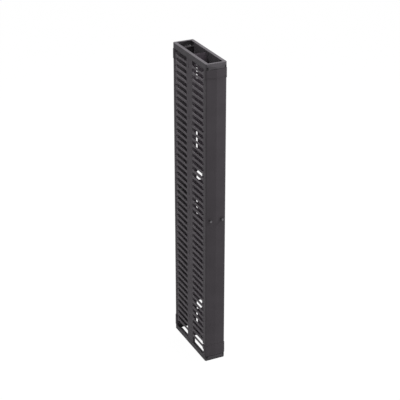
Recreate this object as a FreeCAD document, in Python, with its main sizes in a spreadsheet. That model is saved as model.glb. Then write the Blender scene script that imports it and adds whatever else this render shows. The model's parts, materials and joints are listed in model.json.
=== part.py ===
import FreeCAD, Part
import math
import os
import Sketcher

# Vertical cable manager: a tall open channel, two slotted side strips with a divider
# between them, four columns of cable fingers, ring caps top and bottom, and a creased
# door front and rear. Each door has a knob by each edge; the knob turns a pinion that
# draws an upper and a lower bolt out of the caps.
# Millimetres. X runs left to right, Y front to rear, Z up; the origin is the middle of
# the footprint on the floor. The rear door is the front door turned half a turn.

# Driving sizes
SIZES = [
    ("unit_pitch", 44.45, "height of one rack unit, the pitch of the fingers"),
    ("unit_count", 45, "fingers in each column"),
    ("banks", 3, "finger banks in each column"),
    ("lowest_finger", 94, "floor to the middle of the lowest finger"),
    ("top_margin", 75.6, "middle of the highest finger to the top"),
    ("frame_width", 143.6, "width over the caps"),
    ("frame_depth", 487.5, "depth between the straight rims of the cap"),
    ("cap_height", 36, "height of the top cap"),
    ("base_height", 33, "height of the base"),
    ("cap_wall", 2.5, "side wall of the top cap and base"),
    ("end_wall", 4, "end wall of the top cap and base"),
    ("rim_sheet", 3, "thickness of the rims"),
    ("rim_side", 21.3, "width of the top rim along the sides"),
    ("rim_end", 16, "width of the rims at front and rear"),
    ("base_rim_side", 40, "width of the floor rim along the sides"),
    ("skirt_sheet", 1.5, "thickness of the skirts beside the top opening"),
    ("skirt_drop", 58, "foot of the skirts below the top"),
    ("skirt_margin", 58, "skirts short of the front and rear rim lines"),
    ("screw_access", 5, "radius of the holes in the skirts that a screwdriver passes"),
    ("corner_cut", 7, "cut across the upright corners of the caps"),
    ("face_lip", 2, "how far the end faces stand out at their corners"),
    ("face_peak", 6.5, "how far the crease of the end faces stands out"),
    ("slope_drop", 27, "height over which the end face leans back at its crease"),
    ("pin_inset_x", 10, "bolt axis to the side of the caps"),
    ("pin_inset_y", 6, "bolt axis to the front rim line"),
    ("pin_radius", 3, "radius of the door bolts"),
    ("notch_width", 12, "width of the bolt notches in the caps"),
    ("notch_height", 15, "depth of the bolt notches up or down"),
    ("notch_back", 3.05, "bolt axis to the back wall of its notch, which the bolt bears on"),
    ("corner_block_x", 18, "corner block of the caps across"),
    ("corner_block_y", 15, "corner block of the caps front to rear"),
    ("anchor_x", 52, "floor bolt holes from the middle, across"),
    ("anchor_y", 150, "floor bolt holes from the middle, front to rear"),
    ("anchor_radius", 5.5, "radius of the floor bolt holes"),
    ("strip_width", 80, "width of a side strip"),
    ("strip_inset", 1.3, "side strip behind the side of the caps"),
    ("strip_sheet", 1.5, "sheet of the side strips and divider"),
    ("strip_flange", 18, "flanges of the side strips"),
    ("strip_slot_y", 8, "row of slots behind the middle of the strip"),
    ("strip_slot_width", 6, "width of the slots in the strips"),
    ("long_slot", 33, "length of the rack slots"),
    ("short_slot", 26, "length of the lashing slots"),
    ("strip_screw_y", 25, "strip screws from the middle of the strip"),
    ("strip_screw_z", 15, "strip screws from the end of the strip"),
    ("screw_radius", 2, "shank radius of the screws"),
    ("screw_head_radius", 4, "head radius of the screws"),
    ("screw_head", 2.2, "head height of the screws"),
    ("screw_play", 0.1, "clearance round a screw shank"),
    ("screw_short", 0.3, "strip screws short of the outside"),
    ("divider_foot", 60, "floor to the foot of the divider"),
    ("divider_top_margin", 12, "divider short of the top"),
    ("divider_play", 1.5, "clearance round the divider where it stands between the skirts"),
    ("divider_flange", 12, "flanges of the divider"),
    ("port_half_width", 20, "half width of the large divider ports"),
    ("port_height", 68, "height of the large divider ports"),
    ("port_corner", 8, "cut corners of the large divider ports"),
    ("slit_offset", 18.5, "divider slits left of the middle"),
    ("slit_width", 10, "width of the divider slits"),
    ("slit_height", 120, "height of the divider slits"),
    ("finger_depth", 6, "thickness of a finger across"),
    ("finger_arm", 15, "height of a finger at its arm"),
    ("finger_root", 21, "height of a finger at its root"),
    ("finger_root_length", 8, "length of the root block"),
    ("finger_flare", 5, "length of the flare from root to arm"),
    ("finger_head", 37, "height of the head"),
    ("finger_head_length", 12, "length of the head"),
    ("finger_head_cut", 2.5, "cut corners of the head"),
    ("finger_setback", 36, "finger tips behind the front rim line"),
    ("door_gap", 3, "gap between the door and the caps"),
    ("panel_sheet", 1.5, "sheet of the door panel"),
    ("panel_inset", 0.5, "panel side inside the side of the caps"),
    ("panel_corner", 6.5, "cut across the upright corners of the panel"),
    ("panel_return", 31, "rear edge of the panel behind the front rim line"),
    ("panel_lip", 8, "folded lip on the rear edge of the panel"),
    ("end_cap_plate", 2, "end plate of the door end caps"),
    ("end_cap_return", 26, "rear edge of the door end caps behind the front rim line"),
    ("end_screw_y", 19.5, "end cap screws behind the front rim line"),
    ("end_screw_short", 1.3, "end cap screws short of the outside"),
    ("end_cap_proud", 3.5, "door end caps outside the panel at the sides"),
    ("end_cap_face", 2, "door end caps in front of the panel"),
    ("upper_side_height", 65, "upper end cap at its sides"),
    ("upper_corner_height", 49, "upper end cap at the corners of its face"),
    ("upper_crease_height", 58, "upper end cap at its crease"),
    ("lower_side_height", 78, "lower end cap at its sides"),
    ("lower_corner_height", 77, "lower end cap at the corners of its face"),
    ("lower_crease_height", 85, "lower end cap at its crease"),
    ("bolt_play", 0.3, "clearance round the bolts in caps and guides"),
    ("bolt_reach", 10, "bolts into the notches"),
    ("knob_height", 1060, "floor to the knobs"),
    ("gear_module", 1.5, "module of the pinions and racks"),
    ("gear_teeth", 16, "teeth of a pinion"),
    ("gear_width", 6, "width of the pinions and racks"),
    ("tooth_play", 0.1, "taken off each flank of the teeth"),
    ("knob_inset", 20.1, "knob to the bolt axis beside it"),
    ("shaft_radius", 3, "radius of the knob shafts"),
    ("shaft_play", 0.05, "running clearance of the knob shafts"),
    ("shaft_tail", 10.5, "shaft behind the bolt axis"),
    ("knob_radius", 9.5, "radius of a knob"),
    ("knob_length", 11, "length of a knob"),
    ("knob_stand", 7.8, "back of a knob in front of the front rim line"),
    ("knob_waist", 7.4, "radius of a knob at its back"),
    ("knob_neck", 4, "length of the waist"),
    ("knob_flare", 2, "length of the flare from the waist to the grip"),
    ("knob_chamfer", 1.5, "chamfer round the front of a knob"),
    ("nut_corner", 5.1, "corner radius of the knob nuts"),
    ("nut_height", 3, "height of the knob nuts"),
    ("nut_play", 0.3, "knob nuts behind the bracket"),
    ("bezel_radius", 11.5, "radius of the knob bezels"),
    ("bezel_front", 7.3, "front of the bezels ahead of the front rim line"),
    ("bracket_gap", 1.5, "bolts to the latch bracket"),
    ("bracket_sheet", 2, "sheet of the latch brackets"),
    ("bracket_half_height", 36, "half height of the latch brackets"),
    ("bracket_inner", 16, "inner edge of the latch brackets from the middle"),
    ("bracket_tab", 14, "tab of a latch bracket on the panel"),
    ("crank_drop", 56, "lower crank below the knob"),
    ("crank_height", 6, "height of the lower crank"),
    ("guide_height", 10, "height of a bolt guide"),
    ("guide_depth", 5, "bolt guide behind the bolt axis"),
    ("guide_front", 4.3, "bolt guide in front of the bolt axis"),
    ("guide_inner", 5.2, "bolt guide inside the bolt axis"),
    ("guide_shoulder", 1.8, "cut corner of a bolt guide outside the bolt axis"),
    ("guide_first", 260, "floor to the lowest bolt guide"),
    ("guide_spacing", 533, "spacing of the bolt guides"),
    ("guide_count", 4, "bolt guides on each edge"),
]

# Slots in the side strips: height of the middle, and the size that gives the length
RACK_SLOTS = [224, 716, 1160, 1698, 2043]
LASHING_SLOTS = [1056, 1211]

# Ports and slits of the divider: height of the middle
PORTS = [302, 1279]
SLITS = [200, 1046, 1532, 1998]

doc = FreeCAD.newDocument("vertical_cable_manager")
sheet = doc.addObject("Spreadsheet::Sheet", "Sizes")
for row, (alias, value, note) in enumerate(SIZES, start=1):
    sheet.set(f"A{row}", str(value))
    sheet.setAlias(f"A{row}", alias)
    sheet.set(f"B{row}", note)
doc.recompute()


def size(alias):
    """The number in a cell of the sheet."""
    return float(sheet.get(alias))


# Places worked out from the driving sizes, as expressions
HALF_WIDTH = "(Sizes.frame_width / 2)"
HALF_DEPTH = "(Sizes.frame_depth / 2)"
TOP = "(Sizes.lowest_finger + (Sizes.unit_count - 1) * Sizes.unit_pitch + Sizes.top_margin)"
STRIP_FACE = f"({HALF_WIDTH} - Sizes.strip_inset)"
STRIP_EDGE = "(Sizes.strip_width / 2)"
DOOR_TOP = f"({TOP} - Sizes.cap_height - Sizes.door_gap)"
DOOR_BOTTOM = "(Sizes.base_height + Sizes.door_gap)"
PANEL_SIDE = f"({HALF_WIDTH} - Sizes.panel_inset)"
PANEL_REAR = f"(-{HALF_DEPTH} + Sizes.panel_return)"
END_CAP_REAR = f"(-{HALF_DEPTH} + Sizes.end_cap_return)"
LOW_SCREW = "(Sizes.rim_sheet + Sizes.strip_screw_z)"
HIGH_SCREW = f"({TOP} - {LOW_SCREW})"
PIN_X = f"({HALF_WIDTH} - Sizes.pin_inset_x)"
PIN_Y = f"(-{HALF_DEPTH} + Sizes.pin_inset_y)"
PITCH_RADIUS = "(Sizes.gear_module * Sizes.gear_teeth / 2)"
TOOTH_PITCH = "(pi * Sizes.gear_module)"
KNOB_X = f"({PIN_X} - Sizes.knob_inset)"

# How far a corner of 45 degrees moves along a face when the sheet is offset, per sheet thickness
HALF_BEND = round(math.tan(math.radians(22.5)), 4)

# How much wider a cut corner of 45 degrees grows when both faces are offset, per offset
CORNER_GROWTH = round(2 - math.sqrt(2), 4)

# Pressure angle of the pinions and racks, and half a tooth at the pitch line in modules
PRESSURE = math.radians(20)
HALF_TOOTH = math.pi / 4

labels = []


# Building blocks

def new_body(label, turned=False, compound=False):
    """A body named after its piece; turned puts it on the rear door."""
    body = doc.addObject("PartDesign::Body", label)
    body.Label = label
    body.AllowCompound = compound
    if turned:
        body.Placement = FreeCAD.Placement(FreeCAD.Vector(), FreeCAD.Rotation(FreeCAD.Vector(0, 0, 1), 180))
    labels.append(label)
    return body


def origin_feature(body, role):
    return [item for item in body.Origin.OriginFeatures if item.Role == role][0]


def sketch(body, name, role, loops, offset="0", shift=("0", "0")):
    """A sketch on an origin plane. A loop is a list of (x, y) corners, or (x, y, radius) for a circle."""
    item = body.newObject("Sketcher::SketchObject", f"{body.Name}_{name}")
    item.AttachmentSupport = (origin_feature(body, role), "")
    item.MapMode = "FlatFace"
    item.setExpression("AttachmentOffset.Base.z", offset)
    item.setExpression("AttachmentOffset.Base.x", shift[0])
    item.setExpression("AttachmentOffset.Base.y", shift[1])
    bound = []
    rules = []

    def fix(index, point, corner, start):
        for kind, expression, value in zip(("DistanceX", "DistanceY"), corner, (start.x, start.y)):
            bound.append((len(rules), expression))
            rules.append(Sketcher.Constraint(kind, -1, 1, index, point, value))

    for number, loop in enumerate(loops):
        first = item.GeometryCount
        if isinstance(loop, tuple):
            centre = FreeCAD.Vector(30 * number + 10, 10, 0)
            item.addGeometry(Part.Circle(centre, FreeCAD.Vector(0, 0, 1), 5), False)
            fix(first, 3, loop[:2], centre)
            bound.append((len(rules), loop[2]))
            rules.append(Sketcher.Constraint("Radius", first, 5))
            continue
        count = len(loop)
        turns = [2 * math.pi * index / count for index in range(count)]
        rough = [FreeCAD.Vector(30 * number + 10 * math.cos(a), 10 * math.sin(a), 0) for a in turns]
        lines = [Part.LineSegment(rough[index], rough[(index + 1) % count]) for index in range(count)]
        item.addGeometry(lines, False)
        for index, corner in enumerate(loop):
            following = first + (index + 1) % count
            rules.append(Sketcher.Constraint("Coincident", first + index, 2, following, 1))
            fix(first + index, 1, corner, rough[index])
    item.addConstraint(rules)
    for index, expression in bound:
        item.setExpression(f"Constraints[{index}]", expression)
    doc.recompute()
    return item


def pad(body, profile, length, symmetric=False):
    item = body.newObject("PartDesign::Pad", f"{profile.Name}_pad")
    item.Profile = profile
    item.setExpression("Length", length)
    item.SideType = "Symmetric" if symmetric else "One side"
    body.Tip = item
    doc.recompute()
    return item


def pocket(body, profile, length=None, symmetric=False, reverse=False):
    """Cuts the profile; with no length, right through. Raises where it removes nothing."""
    before = body.Shape.Volume
    item = body.newObject("PartDesign::Pocket", f"{profile.Name}_pocket")
    item.Profile = profile
    item.SideType = "Symmetric" if symmetric else "One side"
    item.Reversed = reverse
    if length is None:
        item.Type = "ThroughAll"
    else:
        item.setExpression("Length", length)
    body.Tip = item
    doc.recompute()
    if body.Shape.Volume > before - 0.01:
        raise RuntimeError(f"{item.Name} cuts nothing: {item.getStatusString()}")
    return item


def repeat(body, feature, role, spacing, count):
    """Copies a feature along an axis of the body."""
    item = body.newObject("PartDesign::LinearPattern", f"{feature.Name}_row")
    item.Originals = [feature]
    item.Direction = (origin_feature(body, role), [""])
    item.Mode = "Spacing"
    item.setExpression("Offset", spacing)
    item.setExpression("Occurrences", count)
    body.Tip = item
    doc.recompute()
    return item


def place(body, x, y, z, turned=False):
    """Puts a body made round its own origin on its door; the rear door is half a turn away."""
    sign = "-" if turned else ""
    body.setExpression("Placement.Base.x", f"{sign}({x})")
    body.setExpression("Placement.Base.y", f"{sign}({y})")
    body.setExpression("Placement.Base.z", z)
    doc.recompute()


def box_loop(x0, x1, y0, y1):
    return [(x0, y0), (x1, y0), (x1, y1), (x0, y1)]


def mirrored(points):
    """A loop from the points of its left half, which start and end on or beside the middle."""
    right = [(f"-({x})", y) for x, y in reversed(points) if x != "0"]
    return list(points) + right


def span(first, second):
    """Two expressions as a distance."""
    return f"({second}) - ({first})"


# Frame

def cap_outline():
    """Plan of the caps: cut corners and a shallow crease at both ends."""
    near = f"(-{HALF_DEPTH} + Sizes.corner_cut)"
    lip = f"(-{HALF_DEPTH} - Sizes.face_lip)"
    peak = f"(-{HALF_DEPTH} - Sizes.face_peak)"
    corner = f"(-{HALF_WIDTH} + Sizes.corner_cut)"
    front = [(f"-{HALF_WIDTH}", near), (corner, lip), ("0", peak), (f"-{corner}", lip), (HALF_WIDTH, near)]
    rear = [(x, f"-({y})") for x, y in reversed(front)]
    return front + rear


def cap_cavity():
    """Plan of the hollow under a rim: clear of the corner blocks, deeper where the strips stand."""
    side = f"({HALF_WIDTH} - Sizes.cap_wall)"
    bay = f"({STRIP_EDGE} + 1)"
    block_x = f"({HALF_WIDTH} - Sizes.corner_block_x)"
    block_y = f"({HALF_DEPTH} - Sizes.corner_block_y)"
    end = f"({HALF_DEPTH} - Sizes.end_wall)"
    quarter = [(block_x, end), (block_x, block_y), (side, block_y), (side, bay), (STRIP_FACE, bay)]
    half = quarter + [(x, f"-({y})") for x, y in reversed(quarter)]
    return half + [(f"-({x})", y) for x, y in reversed(half)]


def slope_loops(edge, depth):
    """Wedges that lean the end faces back, from the rim's edge to the foot of the crease."""
    reach = "1.5 * Sizes.face_peak"
    front = [(f"-{HALF_DEPTH}", edge), (f"-{HALF_DEPTH} - {reach}", edge),
             (f"-{HALF_DEPTH} - {reach}", f"{edge} + 1.5 * ({depth})")]
    return [front, [(f"-({y})", z) for y, z in front]]


def notch_loops():
    """Bolt notches at the four corners, open to the front or the rear."""
    loops = []
    back = f"({PIN_Y} + Sizes.notch_back)"
    out = f"(-{HALF_DEPTH} - 3 * Sizes.face_peak)"
    for side in (-1, 1):
        inner = f"{side} * {PIN_X} - Sizes.notch_width / 2"
        outer = f"{side} * {PIN_X} + Sizes.notch_width / 2"
        loops.append(box_loop(inner, outer, out, back))
        loops.append(box_loop(inner, outer, f"-{back}", f"-{out}"))
    return loops


def screw_circles(height, radius="Sizes.screw_radius + Sizes.screw_play"):
    """Circles for the strip screws, at a height."""
    return [(f"{side} * Sizes.strip_screw_y", height, radius) for side in (-1, 1)]


def make_top_cap():
    body = new_body("top_cap")
    foot = f"{TOP} - Sizes.cap_height"
    pad(body, sketch(body, "outline", "XY_Plane", [cap_outline()], foot), "Sizes.cap_height")
    pocket(body, sketch(body, "slope", "YZ_Plane", slope_loops(TOP, "-Sizes.slope_drop")), symmetric=True)
    hollow = sketch(body, "cavity", "XY_Plane", [cap_cavity()], foot)
    pocket(body, hollow, "Sizes.cap_height - Sizes.rim_sheet", reverse=True)
    x = f"({HALF_WIDTH} - Sizes.rim_side)"
    y = f"({HALF_DEPTH} - Sizes.rim_end)"
    opening = sketch(body, "opening", "XY_Plane", [box_loop(f"-{x}", x, f"-{y}", y)], TOP)
    pocket(body, opening)
    notches = sketch(body, "notches", "XY_Plane", notch_loops(), foot)
    pocket(body, notches, "Sizes.notch_height", reverse=True)
    near = "(Sizes.strip_sheet / 2 + Sizes.divider_play)"
    far = f"({HALF_DEPTH} - Sizes.skirt_margin)"
    outside = f"({x} + Sizes.skirt_sheet)"
    skirt_plans = [box_loop(f"{i} * {x}", f"{i} * {outside}", f"{j} * {near}", f"{j} * {far}")
                   for i in (-1, 1) for j in (-1, 1)]
    skirts = sketch(body, "skirts", "XY_Plane", skirt_plans, f"{TOP} - Sizes.skirt_drop")
    pad(body, skirts, "Sizes.skirt_drop - Sizes.rim_sheet / 2")
    pocket(body, sketch(body, "screw_holes", "YZ_Plane", screw_circles(HIGH_SCREW)), symmetric=True)
    access = sketch(body, "screw_access", "YZ_Plane", screw_circles(HIGH_SCREW, "Sizes.screw_access"))
    pocket(body, access, f"2 * ({outside} + Sizes.screw_play)", symmetric=True)


def make_base():
    body = new_body("base")
    pad(body, sketch(body, "outline", "XY_Plane", [cap_outline()]), "Sizes.base_height")
    pocket(body, sketch(body, "slope", "YZ_Plane", slope_loops("0", "Sizes.slope_drop")), symmetric=True)
    hollow = sketch(body, "cavity", "XY_Plane", [cap_cavity()], "Sizes.base_height")
    pocket(body, hollow, "Sizes.base_height - Sizes.rim_sheet")
    x = f"({HALF_WIDTH} - Sizes.base_rim_side)"
    y = f"({HALF_DEPTH} - Sizes.rim_end)"
    opening = sketch(body, "opening", "XY_Plane", [box_loop(f"-{x}", x, f"-{y}", y)], "Sizes.base_height")
    pocket(body, opening)
    notches = sketch(body, "notches", "XY_Plane", notch_loops(), "Sizes.base_height")
    pocket(body, notches, "Sizes.notch_height")
    anchors = [(f"{i} * Sizes.anchor_x", f"{j} * Sizes.anchor_y", "Sizes.anchor_radius")
               for i in (-1, 1) for j in (-1, 1)]
    pocket(body, sketch(body, "anchors", "XY_Plane", anchors, "Sizes.base_height"))
    pocket(body, sketch(body, "screw_holes", "YZ_Plane", screw_circles(LOW_SCREW)), symmetric=True)


def slot_loops(heights, length):
    """Straight parts and round ends of upright slots in a strip."""
    half = "Sizes.strip_slot_width / 2"
    run = f"({length} / 2 - {half})"
    near = f"Sizes.strip_slot_y - {half}"
    far = f"Sizes.strip_slot_y + {half}"
    bars = [box_loop(near, far, f"{z} - {run}", f"{z} + {run}") for z in heights]
    ends = [("Sizes.strip_slot_y", f"{z} + {end} * {run}", half) for z in heights for end in (-1, 1)]
    return bars, ends


def make_strip(label, side):
    """A side strip: a channel of sheet with its flanges turned in, slotted for the rack."""
    body = new_body(label)
    face = f"{side} * {STRIP_FACE}"
    web = f"{side} * ({STRIP_FACE} - Sizes.strip_sheet)"
    tip = f"{side} * ({STRIP_FACE} - Sizes.strip_flange)"
    inner = f"({STRIP_EDGE} - Sizes.strip_sheet)"
    half = [(face, STRIP_EDGE), (tip, STRIP_EDGE), (tip, inner), (web, inner)]
    channel = half + [(x, f"-{y}") for x, y in reversed(half)]
    profile = sketch(body, "channel", "XY_Plane", [channel], "Sizes.rim_sheet")
    pad(body, profile, span("Sizes.rim_sheet", f"{TOP} - Sizes.rim_sheet"))
    rows = (("rack", RACK_SLOTS, "Sizes.long_slot"), ("lashing", LASHING_SLOTS, "Sizes.short_slot"))
    for name, heights, length in rows:
        bars, ends = slot_loops(heights, length)
        pocket(body, sketch(body, f"{name}_bars", "YZ_Plane", bars), symmetric=True)
        pocket(body, sketch(body, f"{name}_ends", "YZ_Plane", ends), symmetric=True)
    holes = screw_circles(LOW_SCREW) + screw_circles(HIGH_SCREW)
    pocket(body, sketch(body, "screw_holes", "YZ_Plane", holes), symmetric=True)


def screws_outward(body, seat, shank, circles):
    """Screws through both sides with their heads inside, where the sheet ends at seat."""
    parts = (("heads", "Sizes.screw_head_radius", f"({seat} - Sizes.screw_head)", "Sizes.screw_head"),
             ("shanks", "Sizes.screw_radius", seat, shank))
    for name, side in (("left", -1), ("right", 1)):
        for part, radius, start, length in parts:
            low = start if side > 0 else f"-({start} + {length})"
            pad(body, sketch(body, f"{name}_{part}", "YZ_Plane", circles(radius), low), length)


def strip_screw_circles(radius):
    return screw_circles(LOW_SCREW, radius) + screw_circles(HIGH_SCREW, radius)


def make_strip_screws():
    """Eight button-head screws that hold the caps to the side strips, put in from inside."""
    body = new_body("strip_screws", compound=True)
    seat = f"({STRIP_FACE} - Sizes.strip_sheet)"
    shank = "(Sizes.strip_sheet + Sizes.strip_inset - Sizes.screw_short)"
    screws_outward(body, seat, shank, strip_screw_circles)


def make_divider():
    """The sheet between the front and rear channels, with ports and slits for crossing cables."""
    body = new_body("divider")
    end = f"({STRIP_FACE} - Sizes.strip_sheet)"
    web = "(Sizes.strip_sheet / 2)"
    inside = f"({end} - Sizes.strip_sheet)"
    flange = "Sizes.divider_flange"
    half = [(f"-{inside}", web), (f"-{inside}", flange), (f"-{end}", flange), (f"-{end}", f"-{web}")]
    profile = sketch(body, "plan", "XY_Plane", [mirrored(half)], "Sizes.divider_foot")
    pad(body, profile, span("Sizes.divider_foot", f"{TOP} - Sizes.divider_top_margin"))
    w = "Sizes.port_half_width"
    c = "Sizes.port_corner"
    ports = []
    for z in PORTS:
        low = f"({z} - Sizes.port_height / 2)"
        high = f"({z} + Sizes.port_height / 2)"
        left = [("0", high), (f"-{w} + {c}", high), (f"-{w}", f"{high} - {c}"), (f"-{w}", f"{low} + {c}"),
                (f"-{w} + {c}", low), ("0", low)]
        ports.append(mirrored(left))
    pocket(body, sketch(body, "ports", "XZ_Plane", ports), symmetric=True)
    r = "Sizes.slit_width / 2"
    run = f"(Sizes.slit_height / 2 - {r})"
    x = "-Sizes.slit_offset"
    bars = [box_loop(f"{x} - {r}", f"{x} + {r}", f"{z} - {run}", f"{z} + {run}") for z in SLITS]
    ends = [(x, f"{z} + {end} * {run}", r) for z in SLITS for end in (-1, 1)]
    pocket(body, sketch(body, "slit_bars", "XZ_Plane", bars), symmetric=True)
    pocket(body, sketch(body, "slit_ends", "XZ_Plane", ends), symmetric=True)


def make_finger_bank(label, across, along, bank):
    """T-headed fingers, one each rack unit. across is -1 left, 1 right; along is -1 front, 1 rear."""
    body = new_body(label, compound=True)
    run = "(Sizes.unit_count / Sizes.banks)"
    middle = f"(Sizes.lowest_finger + {bank} * {run} * Sizes.unit_pitch)"
    tip = f"({HALF_DEPTH} - Sizes.finger_setback)"
    neck = f"({tip} - Sizes.finger_head_length)"
    block = f"({STRIP_EDGE} + Sizes.finger_root_length)"
    upper = [
        (STRIP_EDGE, "Sizes.finger_root / 2"),
        (block, "Sizes.finger_root / 2"),
        (f"({block} + Sizes.finger_flare)", "Sizes.finger_arm / 2"),
        (neck, "Sizes.finger_arm / 2"),
        (neck, "Sizes.finger_head / 2"),
        (f"({tip} - Sizes.finger_head_cut)", "Sizes.finger_head / 2"),
        (tip, "(Sizes.finger_head / 2 - Sizes.finger_head_cut)"),
    ]
    outline = [(f"{along} * {y}", f"{middle} + {z}") for y, z in upper]
    outline += [(f"{along} * {y}", f"{middle} - {z}") for y, z in reversed(upper)]
    face = f"({STRIP_FACE} - Sizes.finger_depth)" if across > 0 else f"-{STRIP_FACE}"
    finger = pad(body, sketch(body, "outline", "YZ_Plane", [outline], face), "Sizes.finger_depth")
    repeat(body, finger, "Z_Axis", "Sizes.unit_pitch", run)


# Doors

def door_outline(side, corner, lip, peak, rear):
    """Left half of a door's plan, from the rear of its return to the crease."""
    return [(f"-({side})", rear), (f"-({side})", f"(-{HALF_DEPTH} - ({lip}) + {corner})"),
            (f"-({side} - {corner})", f"(-{HALF_DEPTH} - ({lip}))"), ("0", f"(-{HALF_DEPTH} - ({peak}))")]


def panel_outer(rear):
    return door_outline(PANEL_SIDE, "Sizes.panel_corner", "Sizes.face_lip - Sizes.end_cap_face",
                        "Sizes.face_peak - Sizes.end_cap_face", rear)


def cap_outer(rear):
    return door_outline(f"{PANEL_SIDE} + Sizes.end_cap_proud",
                        f"(Sizes.panel_corner + {CORNER_GROWTH} * Sizes.end_cap_proud)",
                        "Sizes.face_lip", "Sizes.face_peak", rear)


def make_panel(prefix, turned):
    """The creased sheet of a door, folded back at both edges and lipped."""
    body = new_body(f"{prefix}_door_panel", turned)
    outer = panel_outer(PANEL_REAR)
    t = "Sizes.panel_sheet"
    lip_in = f"(-({PANEL_SIDE} - Sizes.panel_lip))"
    side_in = f"(-({PANEL_SIDE} - {t}))"
    lip = "(Sizes.face_lip - Sizes.end_cap_face)"
    bend = f"({HALF_BEND} * {t})"
    inner = [("0", f"(-{HALF_DEPTH} - (Sizes.face_peak - Sizes.end_cap_face) + {t})"),
             (f"(-({PANEL_SIDE} - Sizes.panel_corner - {bend}))", f"(-{HALF_DEPTH} - {lip} + {t})"),
             (side_in, f"(-{HALF_DEPTH} - {lip} + Sizes.panel_corner + {bend})"),
             (side_in, f"({PANEL_REAR} - {t})"), (lip_in, f"({PANEL_REAR} - {t})"), (lip_in, PANEL_REAR)]
    loop = outer + [(f"-({x})", y) for x, y in reversed(outer[:-1])]
    loop += [(f"-({x})", y) for x, y in reversed(inner[1:])] + inner
    foot = f"({DOOR_BOTTOM} + Sizes.end_cap_plate)"
    head = f"({DOOR_TOP} - Sizes.end_cap_plate)"
    pad(body, sketch(body, "plan", "XY_Plane", [loop], foot), span(foot, head))
    holes = [(f"{side} * {KNOB_X}", "Sizes.knob_height", "Sizes.shaft_radius + Sizes.bolt_play")
             for side in (-1, 1)]
    pocket(body, sketch(body, "shaft_holes", "XZ_Plane", holes), symmetric=True)
    circles = end_screw_circles("Sizes.screw_radius + Sizes.screw_play")
    pocket(body, sketch(body, "screw_holes", "YZ_Plane", circles), symmetric=True)


def end_screw_circles(radius):
    """Circles for the end cap screws, in the returns."""
    y = f"(-{HALF_DEPTH} + Sizes.end_screw_y)"
    return [(y, f"{DOOR_TOP} - Sizes.upper_side_height / 2", radius),
            (y, f"{DOOR_BOTTOM} + Sizes.lower_side_height / 2", radius)]


def make_end_cap(label, turned, end, direction, side_height, corner_height, crease_height):
    """A moulded door end: a plate with a skirt that shows a chevron on the face."""
    body = new_body(label, turned)
    outer = mirrored(cap_outer(END_CAP_REAR))
    reach = f"max({side_height}; {crease_height})"
    far = f"({end} - {direction} * {reach})"
    pad(body, sketch(body, "outline", "XY_Plane", [outer], far if direction > 0 else end), reach)
    cavity = mirrored(panel_outer(PANEL_REAR))
    hollow = sketch(body, "cavity", "XY_Plane", [cavity], far)
    pocket(body, hollow, f"{reach} - Sizes.end_cap_plate", reverse=direction > 0)
    wide = f"({PANEL_SIDE} + 2 * Sizes.end_cap_proud)"
    shoulder = f"({PANEL_SIDE} - Sizes.panel_corner)"
    beyond = f"({far} - {direction} * Sizes.end_cap_plate)"
    side_foot = f"({end} - {direction} * {side_height})"
    left = [("0", beyond), (f"-{wide}", beyond), (f"-{wide}", side_foot), (f"-{PANEL_SIDE}", side_foot),
            (f"-{shoulder}", f"({end} - {direction} * {corner_height})"),
            ("0", f"({end} - {direction} * {crease_height})")]
    chevron = mirrored(left)
    pocket(body, sketch(body, "chevron", "XZ_Plane", [chevron]), symmetric=True)
    bolts = [(f"{side} * {PIN_X}", PIN_Y, "Sizes.pin_radius + Sizes.bolt_play") for side in (-1, 1)]
    upper_face = end if direction > 0 else f"{end} + Sizes.end_cap_plate"
    pocket(body, sketch(body, "bolt_holes", "XY_Plane", bolts, upper_face))
    circles = end_screw_circles("Sizes.screw_radius + Sizes.screw_play")
    chosen = circles[:1] if direction > 0 else circles[1:]
    blind = f"2 * ({PANEL_SIDE} + Sizes.end_cap_proud - Sizes.end_screw_short + Sizes.screw_play)"
    pocket(body, sketch(body, "screw_holes", "YZ_Plane", chosen), blind, symmetric=True)


def make_end_screws(prefix, turned):
    """Four screws that hold the end caps to the returns of the panel, put in from inside."""
    body = new_body(f"{prefix}_end_cap_screws", turned, compound=True)
    seat = f"({PANEL_SIDE} - Sizes.panel_sheet)"
    shank = "(Sizes.panel_sheet + Sizes.end_cap_proud - Sizes.end_screw_short)"
    screws_outward(body, seat, shank, end_screw_circles)


def make_bezels(prefix, turned):
    """Rings that carry the knob shafts on the face, their backs cut to its slope."""
    body = new_body(f"{prefix}_knob_bezels", turned, compound=True)
    rings = []
    for side in (-1, 1):
        rings.append((f"{side} * {KNOB_X}", "Sizes.knob_height", "Sizes.bezel_radius"))
        rings.append((f"{side} * {KNOB_X}", "Sizes.knob_height", "Sizes.shaft_radius + Sizes.shaft_play"))
    front = f"({HALF_DEPTH} + Sizes.bezel_front)"
    pad(body, sketch(body, "rings", "XZ_Plane", rings, HALF_DEPTH), span(HALF_DEPTH, front))
    seat = sketch(body, "seat", "XY_Plane", [mirrored(panel_outer(PANEL_REAR))], "Sizes.knob_height")
    pocket(body, seat, "4 * Sizes.bezel_radius", symmetric=True)


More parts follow.
